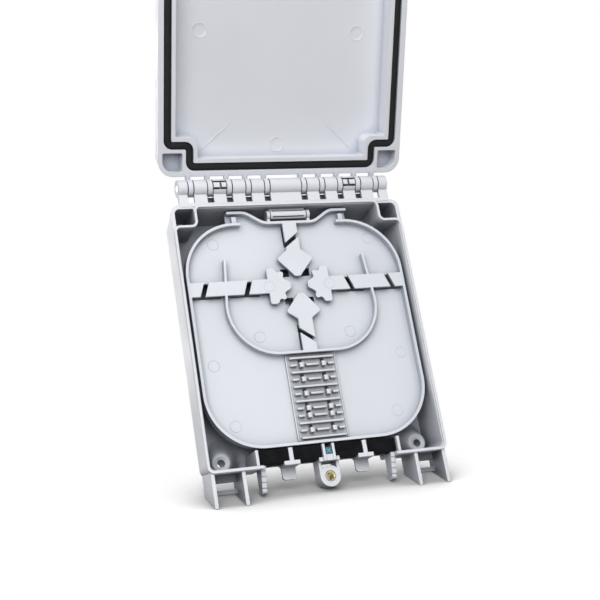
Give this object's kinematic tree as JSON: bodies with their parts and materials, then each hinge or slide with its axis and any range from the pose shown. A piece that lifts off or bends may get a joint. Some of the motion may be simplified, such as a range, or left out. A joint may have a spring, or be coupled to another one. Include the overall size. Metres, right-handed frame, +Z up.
{
  "type": "optical transition box",
  "caption": "Grey wall box for fibre joints with a hinged sealed lid, cable entries in foam, a swing-out splice cassette with retaining arms and a splice comb.",
  "frame": {"origin": "on the flat back face, at the middle of the rim's width and height", "axes": "+X to the right seen from the front, +Y back into the wall, +Z up towards the hinge"},
  "size_m": [0.149, 0.1243, 0.3395],
  "materials": {
    "housing_grey": "fine moulded texture",
    "cassette_white": "smooth satin",
    "comb_grey": "smooth satin",
    "seal_black": "closed-cell foam",
    "insert_brass": "turned",
    "pin_steel": "drawn",
    "adapter_green": "gloss",
    "latch_white": "satin",
    "sleeve_white": "polished",
    "plug_teal": "satin"
  },
  "bodies": {
    "base": {"base_shell": "housing_grey", "hinge_pin_left": "pin_steel", "hinge_pin_right": "pin_steel", "splice_cassette": "cassette_white", "splice_holder": "comb_grey", "cassette_hinge_pin": "pin_steel", "entry_seal_1": "seal_black", "entry_seal_2": "seal_black", "entry_seal_3": "seal_black", "entry_seal_4": "seal_black", "screw_insert": "insert_brass", "port_plug": "plug_teal", "fibre_adapter": "adapter_green", "adapter_sleeve": "sleeve_white", "adapter_latch_low": "latch_white", "adapter_latch_high": "latch_white", "adapter_clip": "pin_steel"},
    "lid": {"lid_shell": "housing_grey", "lid_gasket": "seal_black"},
    "closing_screw": {"lid_screw": "pin_steel", "lid_screw_washer": "pin_steel"}
  },
  "joints": [
    {"name": "lid_hinge", "type": "hinge", "parent": "base", "child": "lid", "pos_m": [0, -0.023, 0.088], "axis": [-1, 0, 0], "range_deg": [-146, 34]},
    {"name": "closing_screw_turn", "type": "hinge", "parent": "lid", "child": "closing_screw", "pos_m": [0, -0.12144, 0.22859], "axis": [0, -0.829, -0.5592], "continuous": true}
  ]
}
